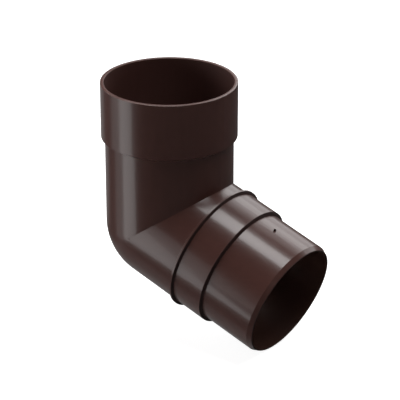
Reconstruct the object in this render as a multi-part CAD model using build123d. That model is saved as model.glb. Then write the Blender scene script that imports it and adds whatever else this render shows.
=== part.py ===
# A round downspout elbow, moulded in one piece of plastic.
# An upright socket takes the end of a downpipe. Below it the tube turns 72 degrees in a sharp mitre,
# with a ball-shaped back, and leaves as a stepped spigot that slopes down and away.
# Sizes are millimetres and degrees. The origin is on the socket's axis, in the seat where the
# downpipe's end stops. +Z runs up out of the socket, and the spigot leaves towards +X.
import os
from math import cos, radians, sin

from build123d import *

# The downpipe that the elbow fits
PIPE_DIAMETER = 85.0
PIPE_WALL = 2.0

# How the two axes run: the turn, and the height of the seat above the point where they cross
BEND_ANGLE = 72.0
SEAT_TO_CROSSING = 62.3

# Upright socket and the tube below it
SOCKET_CLEARANCE = 0.15
SOCKET_DEPTH = 35.0
SOCKET_WALL = 2.4
SOCKET_FLOOR = 2.3
FOOT_SLOPE = 1.6
MOUTH_LEAD = 0.3
TUBE_WALL = 2.4

# Stop rib on the leg, measured along the leg's axis from the crossing
RIB_START = 38.4
RIB_HEIGHT = 2.0
RIB_BACK_SLOPE = 0.5
RIB_LAND = 1.4
RIB_FRONT_SLOPE = 1.1

# Middle stage of the leg, as wide as the downpipe, and the shoulder that ends it
STAGE_LENGTH = 21.8
SHOULDER_SLOPE = 1.2
NECK_LENGTH = 4.5

# Spigot that enters the downpipe, with a tapered lead at its tip
SPIGOT_LENGTH = 40.0
SPIGOT_CLEARANCE = 0.35
SPIGOT_WALL = 2.2
LEAD_LENGTH = 3.2
LEAD_DEPTH = 1.5

# Small slot moulded into the top of the spigot, measured from the shoulder's foot, and how far its long
# way is turned from square across the spigot
MARK_POSITION = 13.2
MARK_TURN = 26.0
MARK_LENGTH = 4.4
MARK_WIDTH = 1.7
MARK_DEPTH = 1.7

# Rounding of the outer moulded edges
RIM_ROUND = 0.3
EDGE_ROUND = 0.25

# How far a cutting form runs past the face that it opens
OVERRUN = 2.0

# Sizes that follow from those above
tube_radius = PIPE_DIAMETER / 2
tube_bore = tube_radius - TUBE_WALL
socket_bore = tube_radius + SOCKET_CLEARANCE
socket_radius = socket_bore + SOCKET_WALL
spigot_radius = tube_radius - PIPE_WALL - SPIGOT_CLEARANCE
spigot_bore = spigot_radius - SPIGOT_WALL
mouth = SEAT_TO_CROSSING + SOCKET_DEPTH
foot_top = SEAT_TO_CROSSING - SOCKET_FLOOR
rib_radius = tube_radius + RIB_HEIGHT
land_start = RIB_START + RIB_BACK_SLOPE
land_end = land_start + RIB_LAND
rib_end = land_end + RIB_FRONT_SLOPE
shoulder_start = rib_end + STAGE_LENGTH
spigot_start = shoulder_start + SHOULDER_SLOPE
spigot_end = spigot_start + SPIGOT_LENGTH
lead_start = spigot_end - LEAD_LENGTH

crossing = Vector(0, 0, -SEAT_TO_CROSSING)
leg_direction = Vector(sin(radians(BEND_ANGLE)), 0, -cos(radians(BEND_ANGLE)))
leg_top = Vector(cos(radians(BEND_ANGLE)), 0, sin(radians(BEND_ANGLE)))
upright_plane = Plane(origin=crossing, x_dir=(1, 0, 0), z_dir=(0, 0, 1))
leg_plane = Plane(origin=crossing, x_dir=leg_top, z_dir=leg_direction)


def turned(plane, corners):
    """A solid turned about the plane's Z axis. Each corner is (radius, distance, rounding)."""
    points = [(0, 0)] + [(radius, distance) for radius, distance, _ in corners] + [(0, corners[-1][1])]
    rounds = [0] + [rounding for _, _, rounding in corners] + [0]
    outline = FilletPolyline(*points, radius=rounds, close=True)
    section = make_face(Plane.XZ * outline)
    return plane.location * revolve(section, Axis.Z)


def ball_back(radius):
    """The slice of a ball that joins the ends of the two tubes round the outside of the bend."""
    rim = ThreePointArc((0, -radius), (-radius, 0), (0, radius))
    half_disc = make_face([rim, Line((0, radius), (0, -radius))])
    turn_axis = Axis(crossing, (0, -1, 0))
    return revolve(upright_plane.location * half_disc, turn_axis, BEND_ANGLE)


def bent(upright_corners, leg_corners, radius):
    """The upright and the leg, joined by the slice of ball behind their mitre."""
    upright = turned(upright_plane, upright_corners)
    leg = turned(leg_plane, leg_corners)
    return upright + ball_back(radius) + leg


def outer_form():
    """Everything inside the elbow's outer skin."""
    upright_corners = [
        (tube_radius, 0, 0),
        (tube_radius, foot_top - FOOT_SLOPE, 0),
        (socket_radius, foot_top, 0),
        (socket_radius, mouth, RIM_ROUND),
    ]
    leg_corners = [
        (tube_radius, 0, 0),
        (tube_radius, RIB_START, 0),
        (rib_radius, land_start, EDGE_ROUND),
        (rib_radius, land_end, EDGE_ROUND),
        (tube_radius, rib_end, 0),
        (tube_radius, shoulder_start, EDGE_ROUND),
        (spigot_radius, spigot_start, 0),
        (spigot_radius, lead_start, 0),
        (spigot_radius - LEAD_DEPTH, spigot_end, 0),
    ]
    return bent(upright_corners, leg_corners, tube_radius)


def bore_form():
    """The way through: mouth, socket, seat, mitred tube, and the neck into the spigot."""
    upright_corners = [
        (tube_bore, 0, 0),
        (tube_bore, SEAT_TO_CROSSING, 0),
        (socket_bore, SEAT_TO_CROSSING, 0),
        (socket_bore, mouth - MOUTH_LEAD, 0),
        (socket_bore + MOUTH_LEAD, mouth, 0),
        (socket_bore + MOUTH_LEAD, mouth + OVERRUN, 0),
    ]
    leg_corners = [
        (tube_bore, 0, 0),
        (tube_bore, spigot_start - NECK_LENGTH, 0),
        (spigot_bore, spigot_start, 0),
        (spigot_bore, spigot_end + OVERRUN, 0),
    ]
    return bent(upright_corners, leg_corners, tube_bore)


def mark_recess():
    """The slot's cutter, set into the top of the spigot."""
    centre = crossing + leg_direction * (spigot_start + MARK_POSITION) + leg_top * spigot_radius
    surface = Plane(origin=centre, x_dir=(0, 1, 0), z_dir=leg_top)
    slot = surface * Rot(0, 0, MARK_TURN) * SlotOverall(MARK_LENGTH, MARK_WIDTH)
    return extrude(slot, amount=OVERRUN) + extrude(slot, amount=-MARK_DEPTH)


def elbow():
    """The finished moulding."""
    return outer_form() - bore_form() - mark_recess()


os.makedirs("parts", exist_ok=True)
export_step(elbow(), "parts/elbow.step")
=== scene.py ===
from math import cos, pi, radians, sin, tan

import bpy
from mathutils import Matrix, Vector


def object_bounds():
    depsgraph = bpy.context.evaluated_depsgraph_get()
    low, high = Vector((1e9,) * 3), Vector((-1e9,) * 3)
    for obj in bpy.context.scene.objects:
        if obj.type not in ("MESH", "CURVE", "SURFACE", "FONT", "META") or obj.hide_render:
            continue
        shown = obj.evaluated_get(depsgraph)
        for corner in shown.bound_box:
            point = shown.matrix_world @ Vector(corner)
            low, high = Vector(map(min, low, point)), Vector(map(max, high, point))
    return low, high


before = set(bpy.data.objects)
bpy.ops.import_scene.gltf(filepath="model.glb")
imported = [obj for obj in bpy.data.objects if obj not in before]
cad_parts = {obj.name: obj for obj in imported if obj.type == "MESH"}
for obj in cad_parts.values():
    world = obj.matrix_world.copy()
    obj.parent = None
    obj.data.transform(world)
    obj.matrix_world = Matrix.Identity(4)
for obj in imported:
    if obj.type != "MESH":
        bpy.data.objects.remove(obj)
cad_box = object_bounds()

# Everything is in metres, in the elbow's own frame: the origin is in the socket's seat, +Z runs
# up out of the socket, and the leg leaves towards +X.

# How the elbow runs: the leg's axis crosses the socket's axis below the seat
UP = Vector((0.0, 0.0, 1.0))
CROSSING = Vector((0.0, 0.0, -0.0623))
BEND_ANGLE = radians(72.0)
LEG_DIRECTION = Vector((sin(BEND_ANGLE), 0.0, -cos(BEND_ANGLE)))
MITRE_NORMAL = (LEG_DIRECTION - UP).normalized()

# Edges that hands and pipes rub: the rim's height over the seat, and places along the leg's axis
# and out from it
RIM_TOP = 0.035
RIB_FROM = 0.0388
RIB_TO = 0.0404
RIB_CREST = 0.0445
SHOULDER_AT = 0.0630

# Where the wear starts and where it is full, measured from each of those places
RIM_FADE = (-0.0012, -0.0001)
RIB_FROM_FADE = (-0.0006, 0.0)
RIB_TO_FADE = (0.0004, -0.0002)
RIB_CREST_FADE = (-0.0010, -0.0001)
SHOULDER_BEFORE_FADE = (-0.0007, -0.0001)
SHOULDER_AFTER_FADE = (0.0004, 0.0)

# Faces that stay dull and get painted shade: their start and end along the leg's axis, and a radius
# one's foot. Below, where the dull, shaded skin starts and where it is full, measured from those
# three.
RIB_SLOPE = (0.0402, 0.0412, 0.0414)
SHOULDER_SLOPE = (0.0630, 0.0642, 0.0393)
TIP_FACE = (0.1043, 0.1050, 0.0378)
FACE_START_FADE = (-0.0002, 0.0001)
FACE_END_FADE = (0.0003, -0.0001)
FACE_FOOT_FADE = (-0.0003, 0.0)

# Half way through each wall: out from the axis in the tubes, the socket and the spigot, and
# where the steps between them start and end along the axis
TUBE_MID_WALL = 0.0413
SOCKET_MID_WALL = 0.0438
SPIGOT_MID_WALL = 0.0383
SOCKET_STEP = (0.0600, 0.0610)
NECK_STEP = (0.0600, 0.0644)

# The plastic's random patterns: how many to the metre, and how many finer layers each has
CLOUD = (22.0, 3.0)
GLOSS_WAVE = (190.0, 1.0)
GRAIN = (1500.0, 2.0)
MOULD_LINES = (420.0, 2.0)
LINE_STRETCH = (1.0, 1.0, 0.04)

# The plastic's colours
DARK_PIGMENT = (0.0575, 0.0225, 0.0181, 1.0)
LIGHT_PIGMENT = (0.0629, 0.0247, 0.0199, 1.0)
PIGMENT_SPREAD = (0.3, 0.7)
LINE_TONES = (0.93, 1.07)
# Painted shade in the leg's bore: darker and less red
LEG_BORE_PAINTED_SHADE = (0.85, 1.0, 0.95, 1.0)
RUBBED_COLOUR = (0.090, 0.042, 0.035, 1.0)
RUBBED_SHARE = 0.25
# Painted shade, darker than the pigment, on the rib's and the shoulder's slopes and the tip's face
SLOPE_PAINTED_SHADE = (0.026, 0.009, 0.007, 1.0)

# The plastic's gloss: a thin smooth skin over a body that is rougher, more so in the socket's
# inside and most on the dull faces
PLASTIC_IOR = 1.40
SKIN_WEIGHT = 0.3
SKIN_ROUGHNESS = 0.11
BODY_ROUGHNESS = (0.27, 0.33)
SATIN_ROUGHNESS = 0.52
DULL_ROUGHNESS = 0.65

# How deep the wave in the gloss and the grain are
WAVE_DEPTH = 0.000008
GRAIN_DEPTH = 0.000004

# Where the photograph was taken from
CAMERA_PLACE = Vector((0.76320, -0.95434, 0.49965))
CAMERA_AIM = Vector((0.023906, 0.001962, -0.044170))
FOCAL_LENGTH_MM = 180.60
SENSOR_MM = 36.0
NEAREST_SEEN = 0.01
FARTHEST_SEEN = 20.0

# The floor and the white round the set
FLOOR_SIZE = 8.0
FLOOR_GAP = 0.0002
FLOOR_COLOUR = (0.5, 0.5, 0.5, 1.0)
FLOOR_ROUGHNESS = 0.9
FLOOR_LIFT = 0.90
WHITE = (1.0, 1.0, 1.0, 1.0)
MIRRORED_WHITE = 0.065

# The softboxes, at one distance from the set's middle
SET_MIDDLE = Vector((0.033, 0.0, -0.048))
LAMP_DISTANCE = 1.1

# Those that hang level over the set: name, from x, to x, from y, to y, brightness
OVERHEAD_BOXES = [
    ("top_box", -0.85, 0.65, -0.19, 0.235, 7.75),
    ("top_middle", -0.55, 0.65, 0.0, 0.12, 3.60),
    ("top_edge_fill", -0.55, 0.65, 0.235, 0.36, 0.40),
]

# Those that stand round it, as seen from its middle in degrees: name, from azimuth, to azimuth,
# from elevation, to elevation, brightness
STANDING_BOXES = [
    ("back_top_fill", 84, 127, 56, 62, 0.9),
    ("back_box", 84, 127, 3, 56, 1.49),
    ("back_core", 84, 127, 25, 48, 1.75),
    ("back_right_box", 54, 84, 8, 42, 2.05),
    ("left_strip", -143, -117, -29.6, -14, 2.47),
    ("left_low_box", -163, -143, -30, 2, 0.47),
    ("left_box", -150, -116.5, -14, 16, 2.67),
    ("left_edge_fill", -116.5, -108, -12, 14, 0.72),
    ("left_high_box", -178, -146, 4, 34, 3.30),
    ("low_back_fill", 125, 165, -52, -30, 0.16),
    ("low_left_fill", 165, 210, -56, -34, 0.13),
    ("under_fill", 130, 230, -80, -56, 0.20),
    ("far_side_fill", 128, 170, -25, 15, 0.22),
    ("front_fill", -85, -35, 20, 50, 0.22),
]


def add_node(tree, kind, **settings):
    """A shader node with its properties set."""
    node = tree.nodes.new(kind)
    for name, value in settings.items():
        setattr(node, name, value)
    return node


def link(tree, source, output, target, socket):
    """Joins one node's output to another node's input."""
    tree.links.new(source.outputs[output], target.inputs[socket])


def noise(tree, vector, output, pattern):
    """Soft random cloud, given as its scale (one cloud is about 1 / scale across) and detail."""
    scale, detail = pattern
    node = add_node(tree, "ShaderNodeTexNoise")
    node.inputs["Scale"].default_value = scale
    node.inputs["Detail"].default_value = detail
    link(tree, vector, output, node, "Vector")
    return node


def effect_group(name, sockets):
    """An empty node group with the float outputs named, and its output node."""
    group = bpy.data.node_groups.new(name, "ShaderNodeTree")
    for socket in sockets:
        group.interface.new_socket(socket, in_out="OUTPUT", socket_type="NodeSocketFloat")
    return group, add_node(group, "NodeGroupOutput")


def from_crossing(tree):
    """Object coordinates, measured from the point where the two axes cross."""
    place = add_node(tree, "ShaderNodeTexCoord")
    offset = add_node(tree, "ShaderNodeVectorMath", operation="SUBTRACT")
    offset.inputs[1].default_value = CROSSING
    link(tree, place, "Object", offset, 0)
    return offset


def along(tree, offset, direction):
    """How far a point lies along a direction."""
    node = add_node(tree, "ShaderNodeVectorMath", operation="DOT_PRODUCT")
    node.inputs[1].default_value = direction
    link(tree, offset, "Vector", node, 0)
    return node


def lines_down(tree, upright_place):
    """Random lines that run up and down."""
    stretched = add_node(tree, "ShaderNodeMapping")
    stretched.inputs["Scale"].default_value = LINE_STRETCH
    link(tree, upright_place, "Vector", stretched, "Vector")
    return noise(tree, stretched, "Vector", MOULD_LINES)


def drawn_lines():
    """Faint lines that the mould leaves down each tube. They turn at the mitre, as the tubes do."""
    group, result = effect_group("drawn_lines", ["Lines"])
    offset = from_crossing(group)
    upright_lines = lines_down(group, offset)

    leg_upright = add_node(group, "ShaderNodeVectorRotate", rotation_type="Y_AXIS")
    leg_upright.inputs["Angle"].default_value = pi - BEND_ANGLE
    link(group, offset, "Vector", leg_upright, "Vector")
    leg_lines = lines_down(group, leg_upright)

    on_leg = add_node(group, "ShaderNodeMath", operation="GREATER_THAN")
    on_leg.inputs[1].default_value = 0.0
    link(group, along(group, offset, MITRE_NORMAL), "Value", on_leg, 0)
    lines = add_node(group, "ShaderNodeMix")
    link(group, on_leg, "Value", lines, "Factor")
    link(group, upright_lines, "Fac", lines, "A")
    link(group, leg_lines, "Fac", lines, "B")
    link(group, lines, "Result", result, "Lines")
    return group


def soft_step(tree, distance, place, fade):
    """A mask that rises from 0 to 1 over a fade, which is measured from a place."""
    node = add_node(tree, "ShaderNodeMapRange", interpolation_type="SMOOTHSTEP")
    node.inputs["From Min"].default_value = place + fade[0]
    node.inputs["From Max"].default_value = place + fade[1]
    link(tree, distance, "Value", node, "Value")
    return node


def joined(tree, first, second, operation):
    """The first outputs of two nodes, joined as masks: MULTIPLY keeps what both hold, MAXIMUM
    what either holds."""
    node = add_node(tree, "ShaderNodeMath", operation=operation)
    link(tree, first, 0, node, 0)
    link(tree, second, 0, node, 1)
    return node


def reach_and_radius(tree, offset, direction):
    """How far a point lies along a tube's axis from the crossing, and how far out from that half
    of the axis."""
    reach = along(tree, offset, direction)
    ahead = add_node(tree, "ShaderNodeMath", operation="MAXIMUM")
    ahead.inputs[1].default_value = 0.0
    link(tree, reach, "Value", ahead, 0)
    on_axis = add_node(tree, "ShaderNodeVectorMath", operation="SCALE")
    on_axis.inputs[0].default_value = direction
    link(tree, ahead, "Value", on_axis, "Scale")
    outward = add_node(tree, "ShaderNodeVectorMath", operation="DISTANCE")
    link(tree, offset, "Vector", outward, 0)
    link(tree, on_axis, "Vector", outward, 1)
    return reach, outward


def rubbed_edges():
    """A mask of the edges that stand out: the rim, the stop rib and the shoulder."""
    group, result = effect_group("rubbed_edges", ["Mask"])
    offset = from_crossing(group)
    rim = soft_step(group, along(group, offset, UP), RIM_TOP - CROSSING.z, RIM_FADE)

    reach, outward = reach_and_radius(group, offset, LEG_DIRECTION)
    past_start = soft_step(group, reach, RIB_FROM, RIB_FROM_FADE)
    before_end = soft_step(group, reach, RIB_TO, RIB_TO_FADE)
    crest = soft_step(group, outward, RIB_CREST, RIB_CREST_FADE)
    rib = joined(group, joined(group, past_start, before_end, "MULTIPLY"), crest, "MULTIPLY")

    before_edge = soft_step(group, reach, SHOULDER_AT, SHOULDER_BEFORE_FADE)
    after_edge = soft_step(group, reach, SHOULDER_AT, SHOULDER_AFTER_FADE)
    shoulder = joined(group, before_edge, after_edge, "MULTIPLY")

    steps = joined(group, rib, shoulder, "MAXIMUM")
    link(group, joined(group, rim, steps, "MAXIMUM"), "Value", result, "Mask")
    return group


def on_face(tree, reach, outward, face):
    """A mask of one face, given as its start, its end and the radius that it lies outside of."""
    start, end, foot = face
    past_start = soft_step(tree, reach, start, FACE_START_FADE)
    before_end = soft_step(tree, reach, end, FACE_END_FADE)
    outside = soft_step(tree, outward, foot, FACE_FOOT_FADE)
    return joined(tree, joined(tree, past_start, before_end, "MULTIPLY"), outside, "MULTIPLY")


def dull_and_shaded_faces():
    """A mask of the rib's and the shoulder's slopes and the tip's face, which stay dull and get
    painted shade."""
    group, result = effect_group("dull_and_shaded_faces", ["Mask"])
    offset = from_crossing(group)
    reach, outward = reach_and_radius(group, offset, LEG_DIRECTION)
    rib = on_face(group, reach, outward, RIB_SLOPE)
    shoulder = on_face(group, reach, outward, SHOULDER_SLOPE)
    tip = on_face(group, reach, outward, TIP_FACE)
    slopes = joined(group, rib, shoulder, "MAXIMUM")
    link(group, joined(group, slopes, tip, "MAXIMUM"), "Value", result, "Mask")
    return group


def inside_of(tree, offset, direction, step, near_radius, far_radius):
    """A mask of the bore round one tube's axis: all that lies nearer the axis than the wall's
    middle, which goes from the near radius to the far one over the step."""
    reach, outward = reach_and_radius(tree, offset, direction)
    mid_wall = add_node(tree, "ShaderNodeMapRange")
    mid_wall.inputs["From Min"].default_value = step[0]
    mid_wall.inputs["From Max"].default_value = step[1]
    mid_wall.inputs["To Min"].default_value = near_radius
    mid_wall.inputs["To Max"].default_value = far_radius
    link(tree, reach, "Value", mid_wall, "Value")
    inside = add_node(tree, "ShaderNodeMath", operation="LESS_THAN")
    link(tree, outward, "Value", inside, 0)
    link(tree, mid_wall, "Result", inside, 1)
    return inside


def inner_walls():
    """Masks of what the mould's two cores shaped: the upright's inside with the socket, and the
    leg's bore, which gets painted shade."""
    group, result = effect_group("inner_walls", ["Upright", "Leg"])
    offset = from_crossing(group)
    upright = inside_of(group, offset, UP, SOCKET_STEP, TUBE_MID_WALL, SOCKET_MID_WALL)
    leg = inside_of(group, offset, LEG_DIRECTION, NECK_STEP, TUBE_MID_WALL, SPIGOT_MID_WALL)
    link(group, upright, "Value", result, "Upright")
    link(group, leg, "Value", result, "Leg")
    return group


def spread(tree, source, output, low, high):
    """A value that runs from low to high as the source runs from 0 to 1."""
    node = add_node(tree, "ShaderNodeMapRange")
    node.inputs["To Min"].default_value = low
    node.inputs["To Max"].default_value = high
    link(tree, source, output, node, "Value")
    return node


def blended(tree, below, output, mask, mask_output, value, **settings):
    """A colour or a value, mixed with a fixed one where the mask holds."""
    node = add_node(tree, "ShaderNodeMix", **settings)
    node.inputs["B"].default_value = value
    link(tree, mask, mask_output, node, "Factor")
    link(tree, below, output, node, "A")
    return node


def plastic_colour(tree, cloud, lines, edges, dull_and_shaded, inner):
    """Cloudy pigment with faint lines, painted shade in the leg's bore, rubbed edges and painted
    shade on the dull faces.
    """
    pigment = add_node(tree, "ShaderNodeValToRGB")
    ends = zip(pigment.color_ramp.elements, PIGMENT_SPREAD, (DARK_PIGMENT, LIGHT_PIGMENT))
    for element, position, colour in ends:
        element.position = position
        element.color = colour
    link(tree, cloud, "Fac", pigment, "Fac")

    streaked = add_node(tree, "ShaderNodeMix", data_type="RGBA", blend_type="MULTIPLY")
    streaked.inputs["Factor"].default_value = 1.0
    link(tree, pigment, "Color", streaked, "A")
    link(tree, spread(tree, lines, "Lines", *LINE_TONES), "Result", streaked, "B")

    # Painted shade in the leg's bore
    bore_shaded = blended(tree, streaked, "Result", inner, "Leg", LEG_BORE_PAINTED_SHADE,
                    data_type="RGBA", blend_type="MULTIPLY")
    wear = add_node(tree, "ShaderNodeMath", operation="MULTIPLY")
    wear.inputs[1].default_value = RUBBED_SHARE
    link(tree, edges, "Mask", wear, 0)
    rubbed = blended(tree, bore_shaded, "Result", wear, "Value", RUBBED_COLOUR, data_type="RGBA")
    # Painted shade on the dull slopes and the tip's face
    return blended(tree, rubbed, "Result", dull_and_shaded, "Mask", SLOPE_PAINTED_SHADE, data_type="RGBA")


def plastic_roughness(tree, cloud, lines, dull_and_shaded, inner):
    """The body's roughness: uneven outside, satin in the upright's inside, dull on the slopes."""
    uneven = joined(tree, cloud, lines, "MULTIPLY")
    body = spread(tree, uneven, "Value", *BODY_ROUGHNESS)
    satin = blended(tree, body, "Result", inner, "Upright", SATIN_ROUGHNESS)
    return blended(tree, satin, "Result", dull_and_shaded, "Mask", DULL_ROUGHNESS)


def bump(tree, pattern, depth):
    """A fine relief of the depth given."""
    node = add_node(tree, "ShaderNodeBump")
    node.inputs["Strength"].default_value = 1.0
    node.inputs["Distance"].default_value = depth
    link(tree, pattern, "Fac", node, "Height")
    return node


def chocolate_plastic():
    """Rigid plastic, coloured through: a broad sheen under a thin glossy skin, as it leaves the
    mould."""
    material = bpy.data.materials.new("chocolate_plastic")
    material.use_nodes = True
    tree = material.node_tree
    tree.nodes.clear()
    output = add_node(tree, "ShaderNodeOutputMaterial")
    plastic = add_node(tree, "ShaderNodeBsdfPrincipled")
    plastic.inputs["IOR"].default_value = PLASTIC_IOR
    plastic.inputs["Coat Roughness"].default_value = SKIN_ROUGHNESS
    link(tree, plastic, "BSDF", output, "Surface")

    place = add_node(tree, "ShaderNodeTexCoord")
    cloud = noise(tree, place, "Object", CLOUD)
    lines, edges, dull_and_shaded, inner = [
        add_node(tree, "ShaderNodeGroup", node_tree=effect())
        for effect in (drawn_lines, rubbed_edges, dull_and_shaded_faces, inner_walls)
    ]

    colour = plastic_colour(tree, cloud, lines, edges, dull_and_shaded, inner)
    link(tree, colour, "Result", plastic, "Base Color")

    # No glossy skin on the dull faces, nor in the upright's inside, the last group's first output
    bare = joined(tree, dull_and_shaded, inner, "MAXIMUM")
    link(tree, spread(tree, bare, "Value", SKIN_WEIGHT, 0.0), "Result", plastic, "Coat Weight")
    roughness = plastic_roughness(tree, cloud, lines, dull_and_shaded, inner)
    link(tree, roughness, "Result", plastic, "Roughness")

    wave = bump(tree, noise(tree, place, "Object", GLOSS_WAVE), WAVE_DEPTH)
    skin = bump(tree, noise(tree, place, "Object", GRAIN), GRAIN_DEPTH)
    link(tree, wave, "Normal", skin, "Normal")
    link(tree, skin, "Normal", plastic, "Normal")
    return material


def white_where_seen(tree):
    """1 for rays that look straight at the set, and a small share for those mirrored in the
    plastic."""
    ray = add_node(tree, "ShaderNodeLightPath")
    direct = add_node(tree, "ShaderNodeMath", operation="MAXIMUM")
    link(tree, ray, "Is Camera Ray", direct, 0)
    link(tree, ray, "Is Transmission Ray", direct, 1)
    seen = add_node(tree, "ShaderNodeMath", operation="MULTIPLY_ADD")
    seen.inputs[1].default_value = MIRRORED_WHITE
    link(tree, ray, "Is Glossy Ray", seen, 0)
    link(tree, direct, "Value", seen, 2)
    return seen


def studio_air():
    """White all round where the camera looks, and dark to the plastic, as in a studio hung with
    dark cloth."""
    world = bpy.data.worlds.new("studio")
    bpy.context.scene.world = world
    world.use_nodes = True
    tree = world.node_tree
    tree.nodes.clear()
    output = add_node(tree, "ShaderNodeOutputWorld")
    white = add_node(tree, "ShaderNodeBackground")
    white.inputs["Color"].default_value = WHITE
    link(tree, white_where_seen(tree), "Value", white, "Strength")
    link(tree, white, "Background", output, "Surface")


def pale_floor(height):
    """A wide white sheet under the elbow. It takes the elbow's shadow, and lets the low lamps'
    light through."""
    material = bpy.data.materials.new("white_sheet")
    material.use_nodes = True
    tree = material.node_tree
    tree.nodes.clear()
    output = add_node(tree, "ShaderNodeOutputMaterial")
    sheet = add_node(tree, "ShaderNodeBsdfPrincipled")
    sheet.inputs["Base Color"].default_value = FLOOR_COLOUR
    sheet.inputs["Roughness"].default_value = FLOOR_ROUGHNESS
    sheet.inputs["Specular IOR Level"].default_value = 0.0
    sheet.inputs["Emission Color"].default_value = WHITE
    lift = add_node(tree, "ShaderNodeMath", operation="MULTIPLY")
    lift.inputs[1].default_value = FLOOR_LIFT
    link(tree, white_where_seen(tree), "Value", lift, 0)
    link(tree, lift, "Value", sheet, "Emission Strength")
    link(tree, sheet, "BSDF", output, "Surface")

    bpy.ops.mesh.primitive_plane_add(size=FLOOR_SIZE, location=(0.0, 0.0, height))
    floor = bpy.context.object
    floor.name = "floor"
    floor.data.materials.append(material)
    floor.visible_glossy = False
    floor.visible_shadow = False


def softbox(name, place, across, outward, width, height, brightness):
    """A lamp that the camera doesn't see. Brightness is its radiance, whatever its size."""
    data = bpy.data.lights.new(name, "AREA")
    data.shape = "RECTANGLE"
    data.size = width
    data.size_y = height
    data.energy = pi * width * height * brightness
    lamp = bpy.data.objects.new(name, data)
    bpy.context.scene.collection.objects.link(lamp)
    facing = Matrix((across, outward.cross(across), outward)).transposed()
    lamp.matrix_world = Matrix.Translation(place) @ facing.to_4x4()
    lamp.visible_camera = False


def overhead_box(name, from_x, to_x, from_y, to_y, brightness):
    """A softbox that hangs level over the set, over the span given from the set's middle."""
    place = SET_MIDDLE + Vector(((from_x + to_x) / 2, (from_y + to_y) / 2, LAMP_DISTANCE))
    across = Vector((0.0, 1.0, 0.0))
    softbox(name, place, across, UP, to_y - from_y, to_x - from_x, brightness)


def standing_box(name, from_azimuth, to_azimuth, from_elevation, to_elevation, brightness):
    """A softbox that faces the set's middle and fills the angles given, as seen from there."""
    turn = radians((from_azimuth + to_azimuth) / 2)
    rise = radians((from_elevation + to_elevation) / 2)
    outward = Vector((cos(rise) * cos(turn), cos(rise) * sin(turn), sin(rise)))
    across = Vector((-sin(turn), cos(turn), 0.0))
    width = 2 * LAMP_DISTANCE * tan(radians(to_azimuth - from_azimuth) / 2) * cos(rise)
    height = 2 * LAMP_DISTANCE * tan(radians(to_elevation - from_elevation) / 2)
    place = SET_MIDDLE + outward * LAMP_DISTANCE
    softbox(name, place, across, outward, width, height, brightness)


def camera_of_the_photograph():
    """The camera at the place and angle that the photograph was taken from."""
    data = bpy.data.cameras.new("camera")
    data.sensor_width = SENSOR_MM
    data.lens = FOCAL_LENGTH_MM
    data.clip_start = NEAREST_SEEN
    data.clip_end = FARTHEST_SEEN
    camera = bpy.data.objects.new("camera", data)
    bpy.context.scene.collection.objects.link(camera)
    camera.location = CAMERA_PLACE
    camera.rotation_euler = (CAMERA_AIM - CAMERA_PLACE).to_track_quat("-Z", "Y").to_euler()
    bpy.context.scene.camera = camera


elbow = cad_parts["elbow"]
plastic = chocolate_plastic()
for holder in elbow.material_slots:
    holder.material = plastic

elbow_foot = cad_box[0][2]
pale_floor(elbow_foot - FLOOR_GAP)
camera_of_the_photograph()
studio_air()
for box in OVERHEAD_BOXES:
    overhead_box(*box)
for box in STANDING_BOXES:
    standing_box(*box)

bpy.context.scene.view_settings.view_transform = "Standard"
